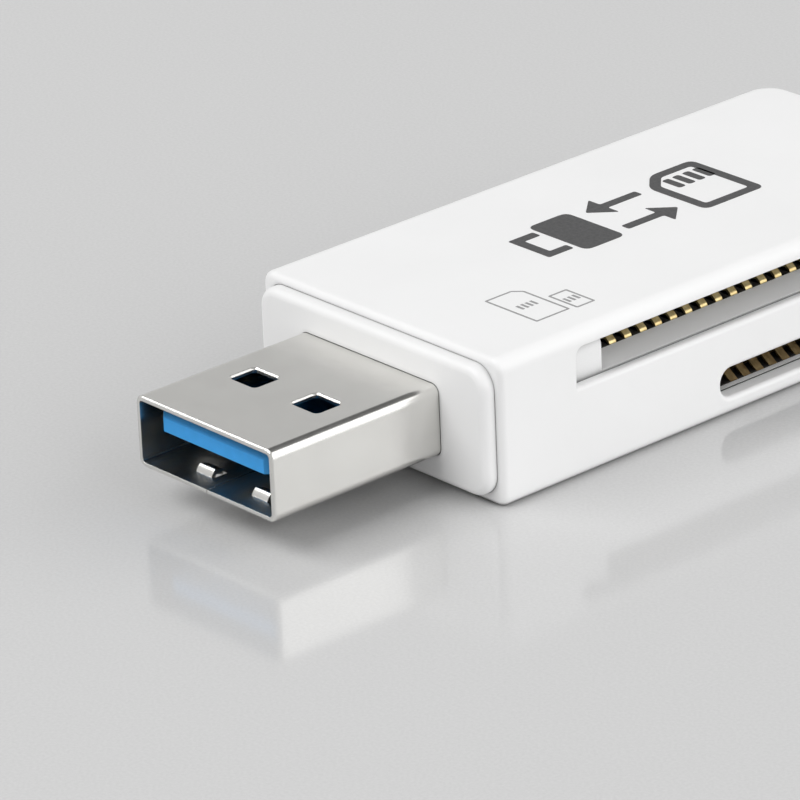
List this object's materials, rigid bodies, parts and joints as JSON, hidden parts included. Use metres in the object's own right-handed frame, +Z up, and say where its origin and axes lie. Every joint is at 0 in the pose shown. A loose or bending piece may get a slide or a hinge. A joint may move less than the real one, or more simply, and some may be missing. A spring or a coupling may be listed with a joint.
{
  "type": "usb memory card reader",
  "caption": "Bar-shaped white plastic card reader with a fixed USB plug at one end and a full-size and a micro memory card slot in one side.",
  "frame": {"origin": "middle of the sleeve's wide underside, on the surface that the reader lies on", "axes": "+Z up through the wide faces, -Y the way the plug points, +X the side with the card slots"},
  "size_m": [0.0208, 0.0559, 0.0092],
  "materials": {
    "white_plastic": "satin moulded",
    "plug_steel": "nickel plated, satin",
    "blue_plastic": "semi-gloss moulded",
    "black_plastic": "moulded",
    "contact_gilt": "gold flash over copper alloy",
    "cover_steel": "tinned",
    "board_laminate": "solder mask",
    "package_black": "moulded",
    "crystal_metal": "plated",
    "capacitor_ceramic": "fired",
    "resistor_ceramic": "fired"
  },
  "bodies": {
    "root": {"housing_sleeve": "white_plastic", "front_collar": "white_plastic", "card_frame": "white_plastic", "plug_shell": "plug_steel", "plug_insulator": "blue_plastic", "large_contact_block": "black_plastic", "micro_socket_body": "black_plastic", "plug_contact_1": "contact_gilt", "plug_contact_2": "contact_gilt", "plug_contact_3": "contact_gilt", "plug_contact_4": "contact_gilt", "fast_contact_1": "contact_gilt", "fast_contact_2": "contact_gilt", "fast_contact_3": "contact_gilt", "fast_contact_4": "contact_gilt", "fast_contact_5": "contact_gilt", "large_contact_1": "contact_gilt", "large_contact_2": "contact_gilt", "large_contact_3": "contact_gilt", "large_contact_4": "contact_gilt", "large_contact_5": "contact_gilt", "large_contact_6": "contact_gilt", "large_contact_7": "contact_gilt", "large_contact_8": "contact_gilt", "large_contact_9": "contact_gilt", "micro_contact_1": "contact_gilt", "micro_contact_2": "contact_gilt", "micro_contact_3": "contact_gilt", "micro_contact_4": "contact_gilt", "micro_contact_5": "contact_gilt", "micro_contact_6": "contact_gilt", "micro_contact_7": "contact_gilt", "micro_contact_8": "contact_gilt", "micro_socket_cover": "cover_steel", "circuit_board": "board_laminate", "controller_chip": "package_black", "voltage_regulator": "package_black", "clock_crystal": "crystal_metal", "chip_capacitor_1": "capacitor_ceramic", "chip_capacitor_2": "capacitor_ceramic", "chip_capacitor_3": "capacitor_ceramic", "chip_capacitor_4": "capacitor_ceramic", "chip_resistor_1": "resistor_ceramic", "chip_resistor_2": "resistor_ceramic"}
  },
  "joints": []
}
